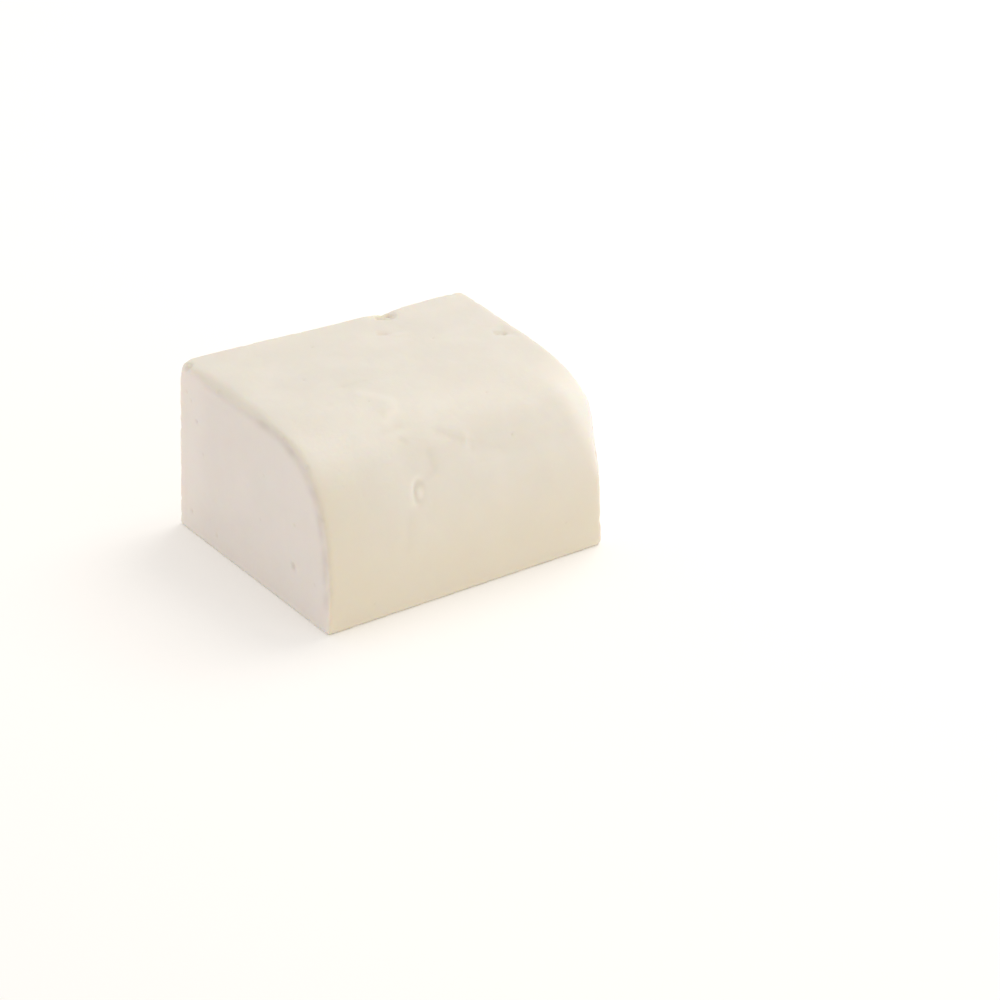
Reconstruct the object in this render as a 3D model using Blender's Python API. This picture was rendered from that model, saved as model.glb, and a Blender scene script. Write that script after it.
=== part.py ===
"""A block of domiati, a soft white brined cheese, cut from a moulded loaf.

The block keeps the loaf's moulded skin on its top and its front, which meet in one broad round
shoulder. The back and both ends are knife cuts, and it rests on its flat base.

X runs along the loaf, from the near cut end (-X) to the far one (+X). The moulded front faces -Y,
the back cut faces +Y, and Z is up. The origin is in the middle of the base. Sizes are in metres.
"""

import math

import bmesh
import bpy
from mathutils import Vector, noise
from mathutils.geometry import intersect_point_line

# The block's driving sizes.
LENGTH = 0.1196
DEPTH = 0.1026
HEIGHT = 0.0648

# A section's outline is (depth share) ** front_power + (height share) ** top_power = 1.
# The moulded front draws in towards the far end. (depth, front_power, top_power)
NEAR_SECTION = (DEPTH, 6.7, 2.86)
FAR_SECTION = (0.0963, 5.7, 3.98)

# How round the edges are: a knife's edge, the skin's edge at each end, and the moulded foot.
CUT_EDGE = 0.0012
NEAR_EDGE = 0.0034
FAR_EDGE = 0.0040
FOOT_EDGE = 0.0018

# The near end's top edge is worn blunt for a stretch that widens from the back corner, then dies away.
WORN_EDGE = 0.0040
WORN_CENTRE = 0.033
WORN_REACH = 0.031

# The far end's edge is rounder for a stretch of the moulded front, centred at this height.
FAR_WORN_EDGE = 0.0034
FAR_WORN_CENTRE = 0.041
FAR_WORN_REACH = 0.019

# A knife never falls quite square: how far each cut's foot stands out beyond its top, and how far
# the back cut has come in at the far end.
NEAR_CUT_LEAN = 0.0014
FAR_CUT_LEAN = -0.0008
BACK_CUT_LEAN = 0.0006
BACK_CUT_SKEW = 0.0018

# The mesh's spacing, with closer lines where an edge is rounded, and round the marks.
SPACING = 0.0042
EDGE_LINES = (0.0005, 0.0013, 0.0026, 0.0045)
MARK_REACH = 0.0040
MARK_CUTS = 2

# Uneven skin and cuts: (wavelength, height).
SKIN_SWELL = ((0.046, 0.00080), (0.017, 0.00028))
CUT_SWELL = ((0.038, 0.00030), (0.011, 0.00010))
FLAT_FOOT = 0.0060

# Marks in the surface: each runs through its points, with a half width and a depth.
# A negative depth stands proud.
MARKS = {
    "shoulder_crease": (((-0.0235, -0.0262, 0.0603), (-0.0148, -0.0293, 0.0589)), 0.0028, 0.0002),
    "short_fall": (((-0.0122, -0.0392, 0.0512), (-0.0121, -0.0417, 0.0476)), 0.0026, 0.0002),
    "long_dash": (((-0.0048, -0.0330, 0.0566), (0.0028, -0.0369, 0.0530)), 0.0026, 0.00024),
    "faint_dash": (((0.0093, -0.0388, 0.0508), (0.0180, -0.0409, 0.0472)), 0.0027, 0.0002),
    "crater": (((-0.0179, -0.0441, 0.0428), (-0.0185, -0.0453, 0.0402)), 0.0026, 0.0002),
    "upper_run": (((-0.0191, -0.0462, 0.0374), (-0.0247, -0.0473, 0.0336)), 0.0030, 0.00015),
    "lower_run": (((-0.0247, -0.0473, 0.0336), (-0.0265, -0.0489, 0.0232)), 0.0030, 0.00015),
    "upper_curl": (((-0.0195, -0.0048, 0.0639), (-0.0125, -0.0084, 0.0636)), 0.0034, -0.00018),
    "middle_curl": (((-0.0104, -0.0127, 0.0632), (-0.0152, -0.0214, 0.0617)), 0.0034, -0.00018),
    "dimple": (((0.0148, 0.0334, 0.0645), (0.0160, 0.0326, 0.0645)), 0.0028, 0.0004),
    "back_edge_chip": (((0.0215, 0.0469, 0.0645), (0.0270, 0.0481, 0.0645)), 0.0023, 0.0013),
    "far_edge_chip": (((0.0532, 0.0131, 0.0640), (0.0538, 0.0076, 0.0640)), 0.0024, 0.0009),
    "near_corner_chip": (((-0.0597, 0.0508, 0.0650), (-0.0590, 0.0512, 0.0646)), 0.0026, 0.0017),
    "near_foot_pit": (((-0.0598, -0.0267, 0.0174), (-0.0598, -0.0277, 0.0162)), 0.0018, 0.0008),
    "back_corner_chip": (((0.0590, 0.0491, 0.0330), (0.0590, 0.0491, 0.0370)), 0.0026, 0.0012),
    "back_foot_chip": (((-0.0210, 0.0495, 0.0070), (-0.0180, 0.0495, 0.0080)), 0.0026, 0.0008),
}

# Off-white, as linear values, with the soft sheen of a moist skin.
CHEESE_COLOUR = (0.86, 0.80, 0.68, 1.0)
CHEESE_ROUGHNESS = 0.42


def smooth_step(value, low, high):
    """0 below low, 1 above high, and an even rise between them."""
    share = min(max((value - low) / (high - low), 0.0), 1.0)
    return share * share * (3.0 - 2.0 * share)


def bell(value, centre, reach):
    """1 at the centre, falling to 0 at the reach."""
    return 1.0 - smooth_step(abs(value - centre), 0.0, reach)


def grid_lines(length):
    """Where one side of the box is scored: evenly, with closer lines by both its ends."""
    inner = length - 2.0 * EDGE_LINES[-1]
    steps = round(inner / SPACING)
    middle = [EDGE_LINES[-1] + inner * step / steps for step in range(1, steps)]
    return [*EDGE_LINES, *middle, *(length - line for line in reversed(EDGE_LINES))]


def scored_box():
    """A box of the block's size, scored into a grid. X is centred; Y runs from back to front."""
    box = bmesh.new()
    bmesh.ops.create_cube(box, size=1.0)
    for vertex in box.verts:
        x, depth, height = vertex.co + Vector((0.0, 0.5, 0.5))
        vertex.co = (x * LENGTH, depth * DEPTH, height * HEIGHT)
    starts = (-LENGTH / 2.0, 0.0, 0.0)
    for axis, (start, length) in enumerate(zip(starts, (LENGTH, DEPTH, HEIGHT))):
        normal = Vector((0.0, 0.0, 0.0))
        normal[axis] = 1.0
        for line in grid_lines(length):
            whole = [*box.verts, *box.edges, *box.faces]
            bmesh.ops.bisect_plane(box, geom=whole, plane_co=normal * (start + line), plane_no=normal)
    return box


def join_flat_base(box):
    """Makes the middle of the base one flat face: it needs no grid."""
    inset = EDGE_LINES[-1] * 0.99

    def in_middle(face):
        x, depth, height = face.calc_center_median()
        return height < 1e-6 and abs(x) < LENGTH / 2.0 - inset and inset < depth < DEPTH - inset

    middle = [face for face in box.faces if in_middle(face)]
    bmesh.ops.dissolve_faces(box, faces=middle, use_verts=True)


def soften(to_one_face, to_other_face, radius):
    """Distances from two faces that meet at an edge, moved so that the edge is round."""
    one = max(radius - to_one_face, 0.0)
    other = max(radius - to_other_face, 0.0)
    if one == 0.0 or other == 0.0:
        return to_one_face, to_other_face
    share = max(one, other) / math.hypot(one, other)
    return radius - one * share, radius - other * share


def end_radius(x, depth, height):
    """How round an end's edge is at this place in the section."""
    if x > 0.0:
        skin = smooth_step(depth, 0.0, DEPTH * 0.5) * smooth_step(height, 0.0, HEIGHT * 0.3)
        worn = smooth_step(depth, DEPTH * 0.6, DEPTH * 0.9) * bell(height, FAR_WORN_CENTRE, FAR_WORN_REACH)
        return CUT_EDGE + (FAR_EDGE - CUT_EDGE) * (0.35 + 0.65 * skin) + FAR_WORN_EDGE * worn
    skin = smooth_step(depth, 0.0, DEPTH * 0.15) * smooth_step(height, 0.0, HEIGHT * 0.3)
    worn = smooth_step(height, HEIGHT * 0.6, HEIGHT * 0.95) * bell(depth, WORN_CENTRE, WORN_REACH)
    return CUT_EDGE + (NEAR_EDGE - CUT_EDGE) * skin + WORN_EDGE * worn


def round_end(x, depth, height):
    """Rounds the edge all round both ends."""
    to_end = LENGTH / 2.0 - abs(x)
    to_side = min(depth, DEPTH - depth, height, HEIGHT - height)
    new_end, new_side = soften(to_end, to_side, end_radius(x, depth, height))
    inset = new_side - to_side
    x = math.copysign(LENGTH / 2.0 - new_end, x)
    depth = inset + depth * (DEPTH - 2.0 * inset) / DEPTH
    height = inset + height * (HEIGHT - 2.0 * inset) / HEIGHT
    return x, depth, height


def round_section(depth, height):
    """Rounds the section's three corners: the top and the foot of the back cut, and the front's foot."""
    depth, from_top = soften(depth, HEIGHT - height, CUT_EDGE)
    depth, height = soften(depth, HEIGHT - from_top, CUT_EDGE)
    to_front, height = soften(DEPTH - depth, height, FOOT_EDGE)
    return DEPTH - to_front, height


def shoulder(x, depth, height):
    """Draws the square section in to the loaf's outline, along lines from the back's foot."""
    along = x / LENGTH + 0.5
    section = [near + (far - near) * along for near, far in zip(NEAR_SECTION, FAR_SECTION)]
    reach, front_power, top_power = section
    across, up = depth / DEPTH, height / HEIGHT
    largest = max(across, up)
    if largest <= 0.0:
        return depth, height
    across, up = across / largest, up / largest
    low, high = 0.5, 1.0
    for _ in range(30):
        share = (low + high) / 2.0
        if (share * across) ** front_power + (share * up) ** top_power > 1.0:
            high = share
        else:
            low = share
    return depth * high * reach / DEPTH, height * high


def lean(x, depth, height):
    """Stands each cut's foot out by its own lean, and draws the back cut in by its skew."""
    foot = 1.0 - height / HEIGHT
    back_share = 1.0 - depth / DEPTH
    depth -= BACK_CUT_LEAN * back_share * (foot - 0.5)
    depth += BACK_CUT_SKEW * back_share * (x / LENGTH + 0.5)
    end_lean = NEAR_CUT_LEAN if x < 0.0 else FAR_CUT_LEAN
    x += x / (LENGTH / 2.0) * end_lean * (foot - 0.5)
    return x, depth, height


def to_block(box):
    """Turns the scored box into the block, before its relief."""
    for vertex in box.verts:
        x, depth, height = round_end(*vertex.co)
        depth, height = shoulder(x, *round_section(depth, height))
        x, depth, height = lean(x, depth, height)
        vertex.co = (x, DEPTH / 2.0 - depth, height)
    bmesh.ops.reverse_faces(box, faces=box.faces)


def distance_to_path(point, path):
    """How far a point is from the nearest part of a path of straight runs."""
    nearest = math.inf
    for start, end in zip(path, path[1:]):
        foot, share = intersect_point_line(point, Vector(start), Vector(end))
        foot = Vector(start).lerp(Vector(end), min(max(share, 0.0), 1.0))
        nearest = min(nearest, (point - foot).length)
    return nearest


def refine_round_marks(block):
    """Adds mesh lines round the marks, so that the solid has room for their shape."""
    def near_mark(face):
        centre = face.calc_center_median()
        return any(distance_to_path(centre, path) < MARK_REACH for path, _, _ in MARKS.values())

    edges = {edge for face in block.faces if near_mark(face) for edge in face.edges}
    bmesh.ops.subdivide_edges(block, edges=list(edges), cuts=MARK_CUTS, use_grid_fill=True)
    uneven = [face for face in block.faces if len(face.verts) > 4 and face.normal.z > -0.9]
    bmesh.ops.triangulate(block, faces=uneven, ngon_method="BEAUTY")


def swell(point, waves):
    """Smooth unevenness, as the sum of a few waves of noise."""
    return sum(height * noise.noise(point / wavelength) for wavelength, height in waves)


def relief(point, normal):
    """How far the surface stands out here, along its normal."""
    is_skin = max(0.0, -normal.y, normal.z)
    skin_share = smooth_step(is_skin, 0.3, 0.8)
    height = skin_share * swell(point, SKIN_SWELL) + (1.0 - skin_share) * swell(point, CUT_SWELL)
    for path, half_width, depth in MARKS.values():
        distance = distance_to_path(point, path)
        height -= depth * math.exp(-((distance / half_width) ** 2))
    return height * smooth_step(point.z, 0.0, FLAT_FOOT)


def add_relief(block):
    """Moves every point along its normal by the relief there."""
    block.normal_update()
    moves = [(vertex, vertex.normal * relief(vertex.co, vertex.normal)) for vertex in block.verts]
    for vertex, move in moves:
        vertex.co += move


def stand_on_origin(block):
    """Puts the middle of the block's footprint at the origin."""
    xs = [vertex.co.x for vertex in block.verts]
    ys = [vertex.co.y for vertex in block.verts]
    middle = Vector((min(xs) + max(xs), min(ys) + max(ys), 0.0)) / 2.0
    bmesh.ops.translate(block, verts=block.verts, vec=-middle)


def cheese_material():
    """The whole block is one off-white paste with a moist sheen."""
    material = bpy.data.materials.new("domiati_cheese")
    material.use_nodes = True
    shader = material.node_tree.nodes["Principled BSDF"]
    shader.inputs["Base Color"].default_value = CHEESE_COLOUR
    shader.inputs["Roughness"].default_value = CHEESE_ROUGHNESS
    shader.inputs["Metallic"].default_value = 0.0
    return material


def make_block():
    """The one solid: the block of cheese, standing on the middle of its base."""
    solid = scored_box()
    join_flat_base(solid)
    to_block(solid)
    refine_round_marks(solid)
    add_relief(solid)
    stand_on_origin(solid)
    mesh = bpy.data.meshes.new("cheese_block")
    solid.to_mesh(mesh)
    solid.free()
    mesh.shade_smooth()
    mesh.set_sharp_from_angle(angle=math.radians(35.0))
    mesh.materials.append(cheese_material())
    block = bpy.data.objects.new("cheese_block", mesh)
    bpy.context.scene.collection.objects.link(block)
    return block


def main():
    for old in list(bpy.data.objects):
        bpy.data.objects.remove(old)
    make_block()


main()
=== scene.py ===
import math

import bmesh
import bpy
import numpy as np
from mathutils import Matrix, Vector, kdtree, noise


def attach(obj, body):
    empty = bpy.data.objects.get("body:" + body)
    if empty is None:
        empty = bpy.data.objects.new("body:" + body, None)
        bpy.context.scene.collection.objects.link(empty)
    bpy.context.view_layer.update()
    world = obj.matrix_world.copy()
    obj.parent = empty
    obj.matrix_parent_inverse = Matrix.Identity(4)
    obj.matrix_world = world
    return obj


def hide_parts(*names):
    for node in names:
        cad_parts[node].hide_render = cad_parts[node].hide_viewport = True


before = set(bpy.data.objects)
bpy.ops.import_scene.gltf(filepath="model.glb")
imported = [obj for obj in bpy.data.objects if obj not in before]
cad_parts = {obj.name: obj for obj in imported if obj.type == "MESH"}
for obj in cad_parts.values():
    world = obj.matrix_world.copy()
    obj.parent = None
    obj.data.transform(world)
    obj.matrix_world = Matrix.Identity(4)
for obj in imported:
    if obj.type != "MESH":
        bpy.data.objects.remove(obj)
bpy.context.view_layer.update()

MM = 0.001

# The block, as in its solid. A section is (depth, front power, top power). Its outline is where the
# share of the depth to the front power and the share of the height to the top power add up to 1.
LENGTH = 119.6 * MM
DEPTH = 102.6 * MM
HEIGHT = 64.8 * MM
NEAR_SECTION = (DEPTH, 6.7, 2.86)
FAR_SECTION = (96.3 * MM, 5.7, 3.98)

# The mesh that carries the fine relief.
VOXEL = 0.74 * MM
MERGE = 0.01 * MM
EVEN_ROUNDS = 2
EVEN_SHARE = 0.45

# The relief fades in over this height above the base, and what ends up within FLAT_BASE is laid flat.
RELIEF_START = 1.5 * MM
FLAT_BASE = 0.35 * MM

# How far a surface must turn towards a cut to count as cut rather than moulded: its start and its full.
FACE_TURN = (0.62, 0.90)

# Cut edges are where that share lies between these, this near to an end or to the back.
EDGE_SHARES = (0.15, 0.85)
EDGE_BAND = 3.0 * MM

# The distance from a section's outline is worked out between these shares of its depth and height.
SECTION_SHARES = (1e-4, 1.2)
LEAST_SLOPE = 1e-6

# Fine unevenness: (wavelength, height).
SKIN_GRAIN = ((9.0 * MM, 0.060 * MM), (3.6 * MM, 0.030 * MM))
CUT_GRAIN = ((7.0 * MM, 0.070 * MM), (2.4 * MM, 0.055 * MM))

# Lines that a knife drags down a cut: spacing across and along the stroke, and height.
DRAG_LINES = ((4.6 * MM, 90.0 * MM, 0.090 * MM), (1.8 * MM, 34.0 * MM, 0.055 * MM))

# Seams between curds show as faint shallow lines in the skin. A seam's width and how far it wanders
# are shares of a curd.
CURD_SIZE = 11.0 * MM
CURD_LINE = 0.14
CURD_DEPTH = 0.030 * MM
CURD_WANDER = 0.22
CURD_WANDER_SIZE = 6.0 * MM

# Cut edges crumble a little: bits of two sizes break out within EDGE_REACH of the edge.
EDGE_REACH = 1.3 * MM
EDGE_BITS = 3.2 * MM
EDGE_FINE_BITS = EDGE_BITS / 2.3
EDGE_FINE_SHARE = 0.5
EDGE_DEPTH = 0.76 * MM
EDGE_START = 0.10

# The skin's own edge, seen on the cut as a soft darker line just inside the outline. It comes and
# goes in beads, fades out above the foot, and is faint where the near top edge is worn blunt.
RIM_INSET = 2.3 * MM
RIM_HALF = 2.0 * MM
RIM_REACH = (1.2 * MM, 2.4 * MM)
RIM_DEPTH = 0.12 * MM
RIM_BEAD = 5.5 * MM
RIM_MEAN = 0.75
RIM_SWING = 0.85
RIM_FADE = (4.0 * MM, 16.0 * MM)
RIM_WORN = (2.0 * MM, 18.0 * MM)
RIM_WORN_SHARE = 0.14
RIM_FAR_SHARE = 0.5

# A painted highlight lies along the far end's rounded edge on the front, where the light catches it. The
# stretch starts this far along at the shoulder, narrows towards the foot and fades out on the top.
PALE_START = 44.0 * MM
PALE_RISE = 10.0 * MM
PALE_SHOULDER = 54.0 * MM
PALE_SLOPE = 0.42
PALE_TOP = (55.0 * MM, 64.0 * MM)
PALE_STRAY = 1.0 * MM
PALE_STRAY_SIZE = 8.0 * MM

# Painted light: the near cut is drawn a little paler towards its back edge, and the marks that stand proud
# are drawn paler as painted highlights.
BACK_PALE = (26.0 * MM, 50.0 * MM)
BACK_PALE_SHARE = 0.26
PROUD_FULL = 0.15 * MM
PROUD_SHARE = 0.20

# Painted warm shade: the skin is drawn a little yellower and darker down the front towards the foot, and
# beside the near cut.
WARM_SHADE_FOOT = (14.0 * MM, 44.0 * MM)
WARM_SHADE_SHARE = 0.75
NEAR_CUT_SHADE_ALONG = (-58.0 * MM, -22.0 * MM)
NEAR_CUT_SHADE_TOP = (46.0 * MM, 61.0 * MM)
NEAR_CUT_SHADE_SHARE = 0.60

# Small openings, as (how many, smallest radius, largest radius) on each surface. Most are near the
# smallest, and each is drawn out one way by up to PIT_STRETCH. A point is tested within PIT_SEARCH
# radii of an opening's middle. That middle lies where its surface's share is over PIT_SURE, clear
# of the cut edges and of the foot.
SEED = 7
CUT_PITS = (28, 0.40 * MM, 0.95 * MM)
SKIN_PITS = (8, 0.45 * MM, 0.65 * MM)
PIT_SIZE_POWER = 2.2
PIT_STRETCH = 0.7
PIT_WALL_POWER = 2.4
PIT_DEPTH_SHARE = 0.62
PIT_SEARCH = 2.0
PIT_SURE = 0.95
PIT_EDGE_GAP = 3.0 * MM
PIT_FOOT_GAP = 4.0 * MM

# Marks seen on the block, each a path of points with a half width and a depth, in millimetres.
# A negative depth stands proud.
CREASES = (
    (((-24.4, -29.1, 59.6), (-20.4, -29.2, 59.3), (-16.7, -28.3, 59.8)), 1.5, 0.09),
    (((-19.6, -33.3, 57.0), (-18.4, -34.1, 56.5)), 1.4, 0.14),
    (((-11.2, -38.5, 52.2), (-11.4, -41.8, 47.4)), 1.7, 0.11),
    (((-13.6, -42.6, 46.0), (-17.1, -43.4, 44.8)), 1.3, 0.08),
    (((14.2, 33.8, 64.5), (15.8, 32.8, 64.5)), 1.3, 0.32),
    (((18.6, 29.6, 64.4), (21.8, 28.0, 64.4)), 1.4, -0.10),
    (((-4.6, -34.0, 56.1), (-0.7, -35.7, 54.7), (3.3, -37.8, 52.6)), 1.8, 0.12),
    (((6.9, -38.3, 52.0), (6.0, -40.0, 49.9)), 1.2, 0.11),
    (((5.4, -36.3, 54.2), (4.2, -39.2, 51.2)), 1.1, -0.10),
    (((-19.4, -20.6, 62.6), (-20.2, -23.2, 62.0)), 1.3, 0.10),
    (((9.3, -38.8, 50.8), (13.0, -39.9, 49.2), (18.0, -40.9, 47.2)), 1.5, 0.06),
    (((-19.1, -46.2, 37.4), (-24.7, -47.3, 33.6), (-26.5, -48.9, 23.2)), 1.6, 0.07),
    (((-22.0, 1.0, 64.4), (-12.5, 1.1, 64.4)), 1.0, 0.10),
)
CURL = (((-19.5, -6.6, 64.3), (-14.7, -12.3, 64.1), (-13.1, -16.3, 63.7),
         (-14.8, -21.4, 62.7), (-20.7, -25.0, 61.4)), 2.4, -0.17)

# The marks stray a little from their paths. A mark's painted shade in its hollow is its depth over
# MARK_SHADE, up to a limit.
MARK_STRAY = 0.5 * MM
MARK_STRAY_SIZE = 4.0 * MM
MARK_SHADE = 0.26 * MM
MARK_SHADE_MOST = 0.8

# The oval mark on the front: its centre and half sizes in millimetres, and its rings as (place and
# half width in half sizes, depth in millimetres). It fades out over CRATER_FADE millimetres from its
# centre. It is uneven, and deeper to the left and towards the top.
CRATER = (-18.8, -44.8, 41.2)
CRATER_WIDTH = 2.2
CRATER_HEIGHT = 3.0
CRATER_RINGS = ((0.0, 0.45, -0.26), (1.0, 0.42, 0.29), (1.75, 0.45, -0.11))
CRATER_FADE = (6.0, 9.0)
CRATER_MEAN = 0.80
CRATER_LEAN = (-0.50, 0.40)
CRATER_SWING = 0.50
CRATER_SWING_SIZE = 2.4 * MM
CRATER_LIMITS = (0.1, 1.6)

# Chips, as (centre, reach, depth) in millimetres. A chip is at its full depth within CHIP_FLOOR of
# its reach, and its floor is crumbly.
CHIPS = (
    ((-58.2, 46.3, 64.1), 2.4, 1.10),
    ((24.5, 45.4, 64.2), 4.8, 1.30),
    ((51.0, 10.4, 64.2), 3.6, 0.95),
    ((59.0, 49.0, 35.0), 3.0, 0.95),
    ((-19.5, 50.0, 7.6), 2.8, 0.80),
    ((-59.7, -27.2, 16.8), 1.6, 0.40),
)
CHIP_FLOOR = 0.5
CHIP_CRUMB = 1.6 * MM
CHIP_MEAN = 0.6
CHIP_SWING = 0.8

# Where each pattern starts in the noise, so that no two are alike.
NOISE_SHIFT = (1.0, 0.37, 1.91)
SKIN_NOISE = 3.0
CUT_NOISE = 7.0
END_DRAG_NOISE = 11.0
BACK_DRAG_NOISE = 17.0
CURD_NOISE = 31.0
EDGE_NOISE = 41.0
EDGE_FINE_NOISE = 42.0
MARK_NOISE = 51.0
CHIP_NOISE = 55.0
CRATER_NOISE = 57.0
RIM_NOISE = 61.0
PALE_NOISE = 71.0

# The paste's colours. Each surface drifts between its first two in broad clouds that only just show,
# and leans to its third here and there, over a centimetre or two.
SKIN_COLOURS = ("#E9E3D7", "#E5DFD2", "#EFE9DE")
CUT_COLOURS = ("#ECE4DD", "#E7DFD8", "#E5DDD5")
CLOUD_SIZE = 30.0 * MM
PATCH_SIZE = 17.0 * MM
PATCH_SPAN = (0.44, 0.74)
PATCH_SHARE = 0.45

# Its tints: painted warm shade, painted highlights, the skin's darker edge on the cuts, and painted shade in
# the openings, chips and marks.
WARM_SHADE_COLOUR = "#E2D8C3"
HIGHLIGHT_COLOUR = "#FCF5EB"
RIM_COLOUR = "#CBC1B8"
RIM_TINT = 0.46
HOLLOW_SHADE_COLOUR = "#D6CAB8"
HOLLOW_SHADE_TINT = 0.38

# The sheen changes between these roughnesses over DAMP_SIZE, and a cut is a little duller.
DAMP_SIZE = 14.0 * MM
DAMP_SPAN = (0.40, 0.68)
DRY_ROUGHNESS = 0.56
DAMP_ROUGHNESS = 0.42
CUT_DULLER = 0.06

# Real curd grain and a knife's finest scratches are well under a millimetre, too fine to show, so
# both are drawn coarser. A scratch is drawn out along the knife's stroke.
GRAIN_SIZE = 1.6 * MM
GRAIN_ROUGHNESS = 0.6
SCRATCH_SPACING = 0.9 * MM
SCRATCH_DRAWN_OUT = 0.03
SCRATCH_SHARE = 0.6
BUMP_STRENGTH = 0.70
BUMP_HEIGHT = 0.16 * MM

# The photograph's camera.
CAMERA_TARGET = Vector((0.03526, -0.01445, 0.01152))
CAMERA_DISTANCE = 1.365
CAMERA_AZIMUTH = math.radians(-34.4276)
CAMERA_ELEVATION = math.radians(26.44)
CAMERA_ROLL = math.radians(0.8955)
CAMERA_LENS = 136.0
CAMERA_NEAREST = 0.05

# The white room, and its soft lights as (place, size, watts).
FLOOR_SIZE = 8.0
ROOM_COLOUR = "#FFFDFB"
ROOM_STRENGTH = 0.77
LIGHT_COLOUR = "#FFFBF7"
KEY_LIGHT = ((0.75, 0.25, 1.05), 0.9, 5.2)
FILL_LIGHT = ((0.45, -1.20, 0.45), 0.8, 1.5)


def linear(hex_colour):
    """An sRGB hex colour as linear RGBA."""
    shares = [int(hex_colour[at:at + 2], 16) / 255.0 for at in (1, 3, 5)]
    return [s / 12.92 if s <= 0.04045 else ((s + 0.055) / 1.055) ** 2.4 for s in shares] + [1.0]


def smooth_step(values, low, high):
    """0 below low, 1 above high, and an even rise between them."""
    share = np.clip((values - low) / (high - low), 0.0, 1.0)
    return share * share * (3.0 - 2.0 * share)


def noise_at(points, scale, offset):
    """Blender's own noise, from -1 to 1, at points divided by a size or by three sizes."""
    shift = Vector([share * offset for share in NOISE_SHIFT])
    return np.array([noise.noise(Vector(point) + shift) for point in points / np.asarray(scale)])


def wander_at(points, scale, offset):
    """A noise of its own for each axis, as one vector for each point."""
    return np.stack([noise_at(points, scale, offset + axis) for axis in range(3)], axis=1)


def grain(points, waves, offset):
    """A sum of noise waves."""
    return sum(height * noise_at(points, wavelength, offset + index)
               for index, (wavelength, height) in enumerate(waves))


def to_path(points, path_mm):
    """Distance from each point to a path of straight runs given in millimetres."""
    path = np.array(path_mm) * MM
    nearest = np.full(len(points), np.inf)
    for start, end in zip(path, path[1:]):
        run = end - start
        share = np.clip((points - start) @ run / (run @ run), 0.0, 1.0)
        gap = np.linalg.norm(points - start - share[:, None] * run, axis=1)
        nearest = np.minimum(nearest, gap)
    return nearest


def tree_of(points, indices):
    """A search tree over the points at these indices."""
    tree = kdtree.KDTree(len(indices))
    for index in indices:
        tree.insert(points[index], int(index))
    tree.balance()
    return tree


def remeshed_block(node):
    """A dense even mesh of the block's solid, as a new object."""
    mesh = node.data.copy()
    mesh.name = "domiati_block"
    mesh.materials.clear()
    piece = bpy.data.objects.new("domiati_block", mesh)
    bpy.context.scene.collection.objects.link(piece)
    work = bmesh.new()
    work.from_mesh(mesh)
    bmesh.ops.remove_doubles(work, verts=work.verts, dist=MERGE)
    work.to_mesh(mesh)
    work.free()
    mesh.remesh_voxel_size = VOXEL
    bpy.context.view_layer.objects.active = piece
    bpy.ops.object.voxel_remesh()
    work = bmesh.new()
    work.from_mesh(mesh)
    for _ in range(EVEN_ROUNDS):
        bmesh.ops.smooth_vert(work, verts=work.verts, factor=EVEN_SHARE,
                              use_axis_x=True, use_axis_y=True, use_axis_z=True)
    work.to_mesh(mesh)
    work.free()
    mesh.shade_smooth()
    return piece


def read_mesh(mesh):
    """The mesh's points and their normals as arrays."""
    count = len(mesh.vertices)
    points = np.empty(count * 3)
    normals = np.empty(count * 3)
    mesh.vertices.foreach_get("co", points)
    mesh.vertices.foreach_get("normal", normals)
    return points.reshape(-1, 3), normals.reshape(-1, 3)


def cut_shares(normals):
    """How far each point belongs to an end cut, to the back cut and to the base, from 0 to 1."""
    ends = smooth_step(np.abs(normals[:, 0]), *FACE_TURN)
    back = smooth_step(normals[:, 1], *FACE_TURN)
    base = smooth_step(-normals[:, 2], *FACE_TURN)
    return ends, back, base


def edge_distance(points, cut):
    """Distance from each point to the nearest cut edge."""
    near_end = np.abs(points[:, 0]) > LENGTH / 2 - EDGE_BAND
    near_back = points[:, 1] > DEPTH / 2 - EDGE_BAND
    low, high = EDGE_SHARES
    on_edge = (cut > low) & (cut < high) & (near_end | near_back)
    tree = tree_of(points, np.flatnonzero(on_edge))
    return np.array([tree.find(point)[2] for point in points])


def outline_distance(points):
    """How far inside the loaf's moulded outline each point of a section lies."""
    along = np.clip(points[:, 0] / LENGTH + 0.5, 0.0, 1.0)
    section = [near + (far - near) * along for near, far in zip(NEAR_SECTION, FAR_SECTION)]
    reach, front_power, top_power = section
    across = np.clip((DEPTH / 2 - points[:, 1]) / reach, *SECTION_SHARES)
    up = np.clip(points[:, 2] / HEIGHT, *SECTION_SHARES)
    level = across ** front_power + up ** top_power
    slope = np.hypot(front_power * across ** (front_power - 1) / reach,
                     top_power * up ** (top_power - 1) / HEIGHT)
    return (1.0 - level) / np.maximum(slope, LEAST_SLOPE)


def rim_line(points):
    """How strongly the skin's edge shows on the end cuts, from 0 to 1."""
    from_end = LENGTH / 2 - np.abs(points[:, 0])
    line = np.exp(-((outline_distance(points) - RIM_INSET) / RIM_HALF) ** 2)
    line *= 1.0 - smooth_step(from_end, *RIM_REACH)
    line *= smooth_step(points[:, 2], *RIM_FADE)
    beads = RIM_MEAN + RIM_SWING * noise_at(points, RIM_BEAD, RIM_NOISE)
    near_share = 1.0 - (1.0 - RIM_WORN_SHARE) * smooth_step(points[:, 1], *RIM_WORN)
    end_share = np.where(points[:, 0] > 0.0, RIM_FAR_SHARE, near_share)
    return np.clip(line * beads * end_share, 0.0, 1.0)


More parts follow.
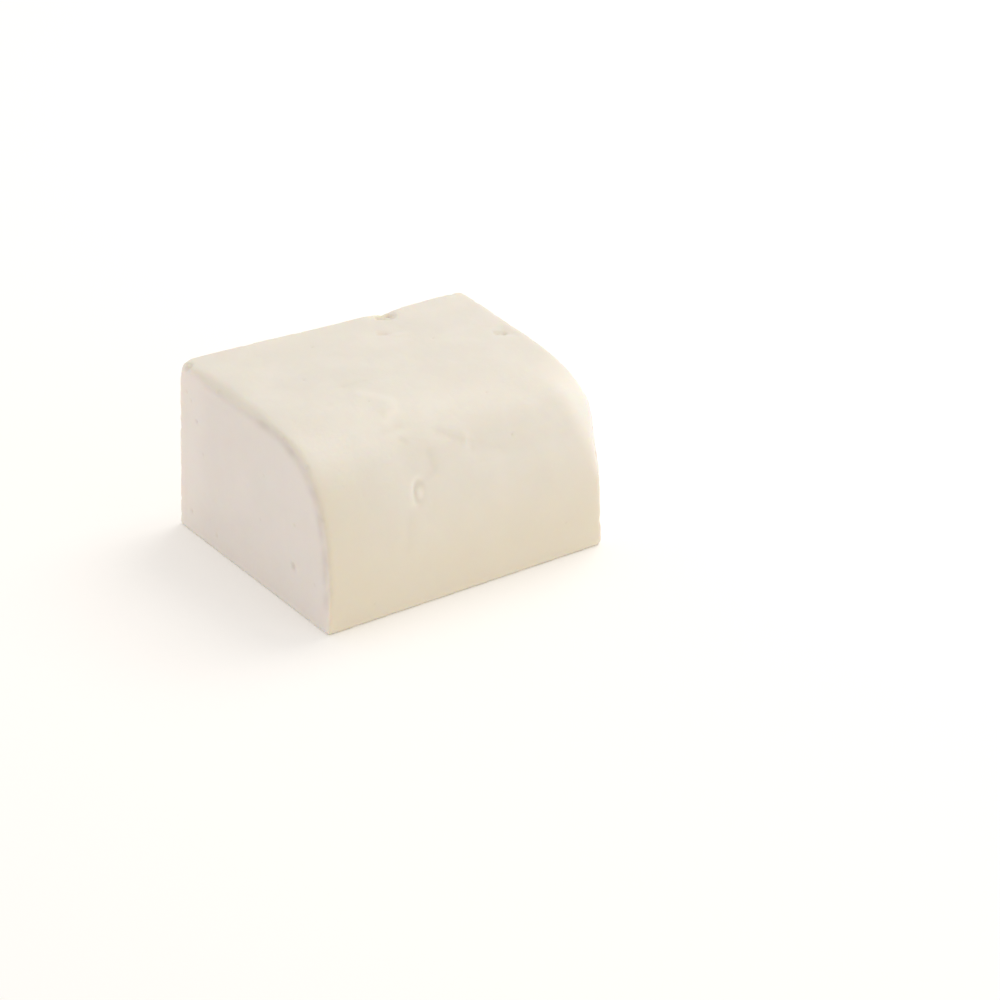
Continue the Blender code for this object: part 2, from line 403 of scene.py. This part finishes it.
def painted_highlights(points, ends, marks):
    """How strong the painted highlights are: on the far edge, towards the near cut's back edge and on the
    proud marks.
    """
    start = PALE_START + PALE_SLOPE * np.maximum(PALE_SHOULDER - points[:, 2], 0.0)
    start += PALE_STRAY * noise_at(points, PALE_STRAY_SIZE, PALE_NOISE)
    far_edge = smooth_step(points[:, 0] - start, 0.0, PALE_RISE) * (points[:, 1] < 0.0)
    far_edge *= (1.0 - smooth_step(points[:, 2], *PALE_TOP)) * (1.0 - ends)
    back_edge = BACK_PALE_SHARE * smooth_step(points[:, 1], *BACK_PALE) * ends * (points[:, 0] < 0.0)
    proud = PROUD_SHARE * np.clip(-marks / PROUD_FULL, 0.0, 1.0)
    return np.maximum(far_edge, np.maximum(back_edge, proud))


def warm_shade_share(points):
    """How much painted warm shade tints the skin, from 0 to 1."""
    low, high = WARM_SHADE_FOOT
    foot = WARM_SHADE_SHARE * (1.0 - np.clip((points[:, 2] - low) / (high - low), 0.0, 1.0))
    beside_cut = NEAR_CUT_SHADE_SHARE * (1.0 - smooth_step(points[:, 0], *NEAR_CUT_SHADE_ALONG))
    beside_cut *= (1.0 - smooth_step(points[:, 2], *NEAR_CUT_SHADE_TOP)) * (points[:, 1] < 0.0)
    return 1.0 - (1.0 - foot) * (1.0 - beside_cut)


def drag_lines(points, ends, back):
    """The streaks that a knife leaves down the cuts."""
    height = np.zeros(len(points))
    for index, (across, along, rise) in enumerate(DRAG_LINES):
        on_ends = noise_at(points, (along, across, along), END_DRAG_NOISE + index)
        on_back = noise_at(points, (across, along, along), BACK_DRAG_NOISE + index)
        height += rise * (ends * on_ends + back * on_back)
    return height


def curd_seams(points):
    """Faint lines where curds knitted together: 1 in a seam, 0 between them."""
    moved = points / CURD_SIZE + CURD_WANDER * wander_at(points, CURD_WANDER_SIZE, CURD_NOISE)
    gaps = np.array([noise.voronoi(Vector(point))[0][:2] for point in moved])
    return 1.0 - smooth_step(gaps[:, 1] - gaps[:, 0], 0.0, CURD_LINE)


def crumbled_edges(points, to_edge):
    """How deep the small bits are that broke out along the cut edges."""
    fine_bits = noise_at(points, EDGE_FINE_BITS, EDGE_FINE_NOISE)
    bits = noise_at(points, EDGE_BITS, EDGE_NOISE) + EDGE_FINE_SHARE * fine_bits
    depth = np.clip(bits - EDGE_START, 0.0, 1.0) * EDGE_DEPTH
    return depth * (1.0 - smooth_step(to_edge, 0.0, EDGE_REACH))


def crater(points):
    """The oval mark pressed into the front, a moat round a low bump: its depth at each point."""
    offset = (points - np.array(CRATER) * MM) / MM
    oval = np.hypot(offset[:, 0] / CRATER_WIDTH, offset[:, 2] / CRATER_HEIGHT)
    near = 1.0 - smooth_step(np.linalg.norm(offset, axis=1), *CRATER_FADE)
    rings = sum(deep * np.exp(-((oval - middle) / half) ** 2) for middle, half, deep in CRATER_RINGS)
    leans = CRATER_LEAN[0] * offset[:, 0] / CRATER_WIDTH + CRATER_LEAN[1] * offset[:, 2] / CRATER_HEIGHT
    uneven = CRATER_MEAN + leans + CRATER_SWING * noise_at(points, CRATER_SWING_SIZE, CRATER_NOISE)
    return rings * near * np.clip(uneven, *CRATER_LIMITS) * MM


def pressed_marks(points):
    """Depth of the creases, the curl and the crater."""
    strayed = points + MARK_STRAY * wander_at(points, MARK_STRAY_SIZE, MARK_NOISE)
    depth = crater(strayed)
    for path, half_width, deep in (*CREASES, CURL):
        depth += deep * MM * np.exp(-(to_path(strayed, path) / (half_width * MM)) ** 2)
    return depth


def chipped_places(points):
    """The chips' crumbly insides, as their depth and how far each point is inside one."""
    crumb = CHIP_MEAN + CHIP_SWING * noise_at(points, CHIP_CRUMB, CHIP_NOISE)
    depth = np.zeros(len(points))
    inside = np.zeros(len(points))
    for centre, reach, deep in CHIPS:
        gap = np.linalg.norm(points - np.array(centre) * MM, axis=1) / (reach * MM)
        share = 1.0 - smooth_step(gap, CHIP_FLOOR, 1.0)
        depth += deep * MM * crumb * share
        inside = np.maximum(inside, share)
    return depth, inside


def sink_pits(points, shares, pits, draw, tree, depth, inside):
    """Sinks small irregular openings at random places where shares is high, into depth and inside."""
    count, smallest, largest = pits
    places = np.flatnonzero(shares > PIT_SURE)
    for place in draw.choice(places, count, replace=False):
        radius = smallest + (largest - smallest) * draw.random() ** PIT_SIZE_POWER
        stretch = 1.0 + PIT_STRETCH * draw.random()
        along = Vector(draw.normal(size=3)).normalized()
        centre = Vector(points[place])
        for point, index, _ in tree.find_range(centre, radius * PIT_SEARCH):
            offset = point - centre
            run = offset.dot(along)
            across = math.sqrt(max(offset.length_squared - run * run, 0.0))
            gap = math.hypot(run / stretch, across) / radius
            if gap < 1.0:
                share = 1.0 - gap ** PIT_WALL_POWER
                depth[index] = max(depth[index], radius * PIT_DEPTH_SHARE * share)
                inside[index] = max(inside[index], share)


def open_pits(points, cut, skin, to_edge):
    """The openings in the cuts and the skin, as their depth and how far each point is inside one."""
    tree = tree_of(points, range(len(points)))
    draw = np.random.default_rng(SEED)
    depth = np.zeros(len(points))
    inside = np.zeros(len(points))
    clear = (to_edge > PIT_EDGE_GAP) * (points[:, 2] > PIT_FOOT_GAP)
    sink_pits(points, cut * clear, CUT_PITS, draw, tree, depth, inside)
    sink_pits(points, skin * clear, SKIN_PITS, draw, tree, depth, inside)
    return depth, inside


def displaced(points, normals, rise, base):
    """The points moved out along their normals by rise. The base stays flat."""
    rise = rise * (1.0 - base) * smooth_step(points[:, 2], 0.0, RELIEF_START)
    moved = points + normals * rise[:, None]
    moved[:, 2] = np.where(moved[:, 2] < FLAT_BASE, 0.0, moved[:, 2])
    return moved


def give_attribute(mesh, name, values):
    """Stores one number for each point, for the material to read."""
    layer = mesh.attributes.new(name, "FLOAT", "POINT")
    layer.data.foreach_set("value", values.astype(np.float32))


def add_block():
    """The visible block: the solid's own surface with curd grain, knife lines, openings and marks."""
    piece = remeshed_block(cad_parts["cheese_block"])
    mesh = piece.data
    points, normals = read_mesh(mesh)
    ends, back, base = cut_shares(normals)
    cut = np.maximum(ends, back)
    skin = np.clip(1.0 - cut - base, 0.0, 1.0)
    to_edge = edge_distance(points, cut)

    rim = rim_line(points)
    marks = pressed_marks(points)
    chip_depth, chip_inside = chipped_places(points)
    pit_depth, pit_inside = open_pits(points, cut, skin, to_edge)

    rise = skin * grain(points, SKIN_GRAIN, SKIN_NOISE) + cut * grain(points, CUT_GRAIN, CUT_NOISE)
    rise += drag_lines(points, ends, back)
    rise -= CURD_DEPTH * (skin * curd_seams(points))
    rise -= crumbled_edges(points, to_edge)
    rise -= RIM_DEPTH * rim
    rise -= marks + chip_depth
    rise -= pit_depth
    points = displaced(points, normals, rise, base)
    mesh.vertices.foreach_set("co", points.ravel())
    mesh.update()

    # Painted shade for the hollows: the openings, chips and pressed marks are drawn darker inside.
    painted_mark_shade = np.clip(marks / MARK_SHADE, 0.0, MARK_SHADE_MOST)
    give_attribute(mesh, "cut", cut)
    give_attribute(mesh, "painted_hollow_shade", np.maximum(pit_inside, np.maximum(chip_inside, painted_mark_shade)))
    give_attribute(mesh, "rim", rim)
    # Painted warm shade, low on the front and beside the near cut.
    give_attribute(mesh, "painted_warm_shade", warm_shade_share(points))
    # Painted highlights on the far edge, the near cut's back edge and the proud marks.
    give_attribute(mesh, "painted_highlight", painted_highlights(points, ends, marks))
    mesh.materials.append(domiati_paste())
    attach(piece, "root")
    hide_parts("cheese_block")


def add_node(tree, kind, inputs, output=0, **settings):
    """Adds a node with its settings, sets or links its inputs, and gives back one of its outputs."""
    node = tree.nodes.new(kind)
    for name, value in settings.items():
        setattr(node, name, value)
    for name, value in inputs.items():
        if isinstance(value, bpy.types.NodeSocket):
            tree.links.new(value, node.inputs[name])
        else:
            node.inputs[name].default_value = value
    return node.outputs[output]


def surface_colour(tree, colours, clouds, patches):
    """One surface's own colour, from how strong the clouds and the patches are."""
    first, second, third = map(linear, colours)
    clouded = add_node(tree, "ShaderNodeMix", {0: clouds, 6: first, 7: second}, 2, data_type="RGBA")
    return add_node(tree, "ShaderNodeMix", {0: patches, 6: clouded, 7: third}, 2, data_type="RGBA")


def paste_colour(tree, place, cut):
    """The paste's colour: ivory skin and cooler cuts, with painted warm shade, painted highlights, the skin's
    darker edge and painted shade in the hollows.
    """
    low, high = PATCH_SPAN
    clouds = add_node(tree, "ShaderNodeTexNoise", {"Vector": place, "Scale": 1.0 / CLOUD_SIZE, "Detail": 2.0})
    patches = add_node(tree, "ShaderNodeTexNoise",
                       {"Vector": place, "Scale": 1.0 / PATCH_SIZE, "Detail": 2.0})
    patches = add_node(tree, "ShaderNodeMapRange", {0: patches, 1: low, 2: high, 4: PATCH_SHARE})
    skin = surface_colour(tree, SKIN_COLOURS, clouds, patches)
    sliced = surface_colour(tree, CUT_COLOURS, clouds, patches)

    # Painted warm shade makes the skin a little yellower and darker low down, and painted highlights make
    # places paler.
    painted_warm_shade = add_node(tree, "ShaderNodeAttribute", {}, "Fac", attribute_name="painted_warm_shade")
    skin = add_node(tree, "ShaderNodeMix", {0: painted_warm_shade, 6: skin, 7: linear(WARM_SHADE_COLOUR)}, 2, data_type="RGBA")
    colour = add_node(tree, "ShaderNodeMix", {0: cut, 6: skin, 7: sliced}, 2, data_type="RGBA")
    painted_highlight = add_node(tree, "ShaderNodeAttribute", {}, "Fac", attribute_name="painted_highlight")
    colour = add_node(tree, "ShaderNodeMix", {0: painted_highlight, 6: colour, 7: linear(HIGHLIGHT_COLOUR)}, 2,
                      data_type="RGBA")

    # The skin's edge on the cuts is a shade darker. Painted shade darkens the insides of the openings, chips
    # and pressed marks.
    for name, most, tint in (("rim", RIM_TINT, RIM_COLOUR), ("painted_hollow_shade", HOLLOW_SHADE_TINT, HOLLOW_SHADE_COLOUR)):
        share = add_node(tree, "ShaderNodeAttribute", {}, "Fac", attribute_name=name)
        share = add_node(tree, "ShaderNodeMath", {0: share, 1: most}, operation="MULTIPLY")
        colour = add_node(tree, "ShaderNodeMix", {0: share, 6: colour, 7: linear(tint)}, 2, data_type="RGBA")
    return colour


def paste_roughness(tree, place, cut):
    """Brine lies unevenly on it, so its sheen changes over a centimetre or so; cuts are duller."""
    low, high = DAMP_SPAN
    damp = add_node(tree, "ShaderNodeTexNoise", {"Vector": place, "Scale": 1.0 / DAMP_SIZE, "Detail": 4.0})
    sheen = add_node(tree, "ShaderNodeMapRange",
                     {0: damp, 1: low, 2: high, 3: DRY_ROUGHNESS, 4: DAMP_ROUGHNESS})
    return add_node(tree, "ShaderNodeMath", {0: cut, 1: CUT_DULLER, 2: sheen}, operation="MULTIPLY_ADD")


def paste_relief(tree, place, cut):
    """Fine curd grain all over, and the knife's finest scratches down the cuts, as a normal."""
    curds = add_node(tree, "ShaderNodeTexNoise",
                     {"Vector": place, "Scale": 1.0 / GRAIN_SIZE, "Detail": 5.0,
                      "Roughness": GRAIN_ROUGHNESS})
    stroke = add_node(tree, "ShaderNodeMapping", {"Vector": place, "Scale": (1.0, 1.0, SCRATCH_DRAWN_OUT)})
    scratch = add_node(tree, "ShaderNodeTexNoise",
                       {"Vector": stroke, "Scale": 1.0 / SCRATCH_SPACING, "Detail": 2.0})
    scratch = add_node(tree, "ShaderNodeMath", {0: scratch, 1: cut}, operation="MULTIPLY")
    height = add_node(tree, "ShaderNodeMath", {0: scratch, 1: SCRATCH_SHARE, 2: curds},
                      operation="MULTIPLY_ADD")
    return add_node(tree, "ShaderNodeBump",
                    {"Height": height, "Strength": BUMP_STRENGTH, "Distance": BUMP_HEIGHT})


def domiati_paste():
    """Soft white brined cheese. The moulded skin is ivory, close and faintly satin; a knife cut is
    whiter, a little cooler, more open and duller. Light soaks in a few millimetres and comes out warm."""
    material = bpy.data.materials.new("domiati_moulded_and_cut")
    material.use_nodes = True
    tree = material.node_tree
    shader = tree.nodes["Principled BSDF"]
    place = add_node(tree, "ShaderNodeTexCoord", {}, "Object")
    cut = add_node(tree, "ShaderNodeAttribute", {}, "Fac", attribute_name="cut")
    tree.links.new(paste_colour(tree, place, cut), shader.inputs["Base Color"])
    tree.links.new(paste_roughness(tree, place, cut), shader.inputs["Roughness"])
    tree.links.new(paste_relief(tree, place, cut), shader.inputs["Normal"])
    shader.inputs["Metallic"].default_value = 0.0
    shader.inputs["IOR"].default_value = 1.40
    shader.inputs["Subsurface Weight"].default_value = 0.75
    shader.inputs["Subsurface Radius"].default_value = (1.0, 0.72, 0.42)
    shader.inputs["Subsurface Scale"].default_value = 3.2 * MM
    shader.inputs["Coat Weight"].default_value = 0.10
    shader.inputs["Coat Roughness"].default_value = 0.32
    return material


def matt_paper():
    """A seamless white paper sweep: even, matt and almost pure white. A little light of its own keeps
    it white away from the lights."""
    material = bpy.data.materials.new("white_paper_sweep")
    material.use_nodes = True
    shader = material.node_tree.nodes["Principled BSDF"]
    shader.inputs["Base Color"].default_value = linear("#FAF8F5")
    shader.inputs["Roughness"].default_value = 0.9
    shader.inputs["Specular IOR Level"].default_value = 0.2
    shader.inputs["Emission Color"].default_value = linear("#FFFDFA")
    shader.inputs["Emission Strength"].default_value = 0.12
    return material


def add_floor():
    """The plain pale floor under the block."""
    bpy.ops.mesh.primitive_plane_add(size=FLOOR_SIZE)
    floor = bpy.context.object
    floor.name = "floor"
    floor.data.materials.append(matt_paper())


def add_softbox(name, place, size, watts):
    """A square soft light that faces the block."""
    data = bpy.data.lights.new(name, "AREA")
    data.shape = "SQUARE"
    data.size = size
    data.energy = watts
    data.color = linear(LIGHT_COLOUR)[:3]
    light = bpy.data.objects.new(name, data)
    light.location = place
    light.rotation_mode = "QUATERNION"
    light.rotation_quaternion = (Vector(place) - Vector((0, 0, HEIGHT / 2))).to_track_quat("Z", "Y")
    bpy.context.scene.collection.objects.link(light)


def add_light():
    """A bright white room, a broad key above the far end and a weak fill before the moulded front."""
    world = bpy.data.worlds.new("white_room")
    world.use_nodes = True
    sky = world.node_tree.nodes["Background"]
    sky.inputs["Color"].default_value = linear(ROOM_COLOUR)
    sky.inputs["Strength"].default_value = ROOM_STRENGTH
    bpy.context.scene.world = world
    add_softbox("key", *KEY_LIGHT)
    add_softbox("fill", *FILL_LIGHT)
    bpy.context.scene.view_settings.view_transform = "Standard"
    bpy.context.scene.view_settings.look = "None"


def add_camera():
    """The photograph's camera, a little above the block and to the left of its moulded front."""
    flat = math.cos(CAMERA_ELEVATION)
    back = Vector((math.sin(CAMERA_AZIMUTH) * flat, -math.cos(CAMERA_AZIMUTH) * flat,
                   math.sin(CAMERA_ELEVATION)))
    level = Vector((math.cos(CAMERA_AZIMUTH), math.sin(CAMERA_AZIMUTH), 0.0))
    right = level * math.cos(CAMERA_ROLL) + back.cross(level) * math.sin(CAMERA_ROLL)
    turn = Matrix((right, back.cross(right), back)).transposed().to_4x4()
    data = bpy.data.cameras.new("camera")
    data.lens = CAMERA_LENS
    data.clip_start = CAMERA_NEAREST
    camera = bpy.data.objects.new("camera", data)
    camera.matrix_world = Matrix.Translation(CAMERA_TARGET + back * CAMERA_DISTANCE) @ turn
    bpy.context.scene.collection.objects.link(camera)
    bpy.context.scene.camera = camera


add_camera()
add_block()
add_floor()
add_light()
